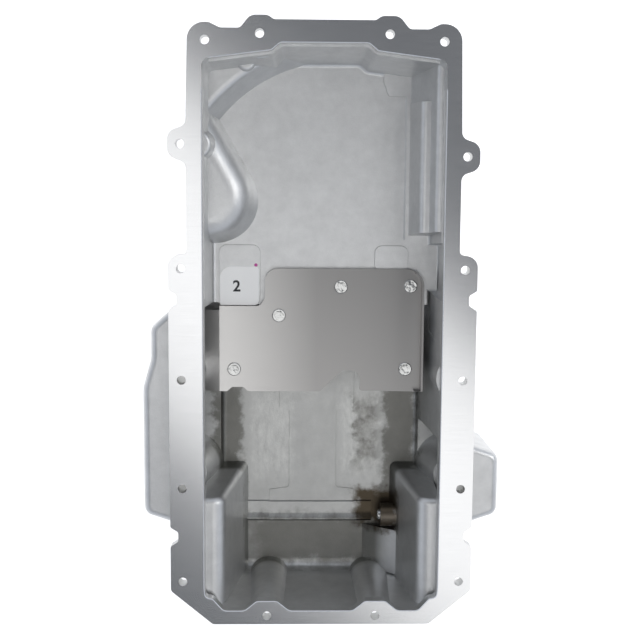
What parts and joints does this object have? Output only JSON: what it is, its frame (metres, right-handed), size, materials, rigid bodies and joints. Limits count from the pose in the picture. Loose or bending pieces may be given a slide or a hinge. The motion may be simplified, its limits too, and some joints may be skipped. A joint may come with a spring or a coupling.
{
  "type": "engine oil pan",
  "caption": "Cast aluminium wet-sump oil pan with a shallow front tray, a deep rear sump with side pockets, and a bolted windage plate.",
  "frame": {"origin": "middle of the rectangle of four rail bolts, on the gasket face", "axes": "+Z out of the gasket face towards the engine, +Y along the pan to its shallow front end, +X to the side of the short pocket and the drain"},
  "size_m": [0.3638, 0.6125, 0.135],
  "materials": {
    "cast_aluminium": "as cast, satin",
    "plate_steel": "satin",
    "zinc_screw": "bright zinc",
    "drain_steel": "zinc plated",
    "seal_rubber": "matte",
    "label_film": "matte white"
  },
  "bodies": {
    "root": {"pan_casting": "cast_aluminium", "windage_plate": "plate_steel", "drain_plug": "drain_steel", "drain_washer": "seal_rubber", "number_label": "label_film", "plate_bolt_1": "zinc_screw", "plate_bolt_2": "zinc_screw", "plate_bolt_3": "zinc_screw", "plate_bolt_4": "zinc_screw", "plate_bolt_5": "zinc_screw"}
  },
  "joints": []
}
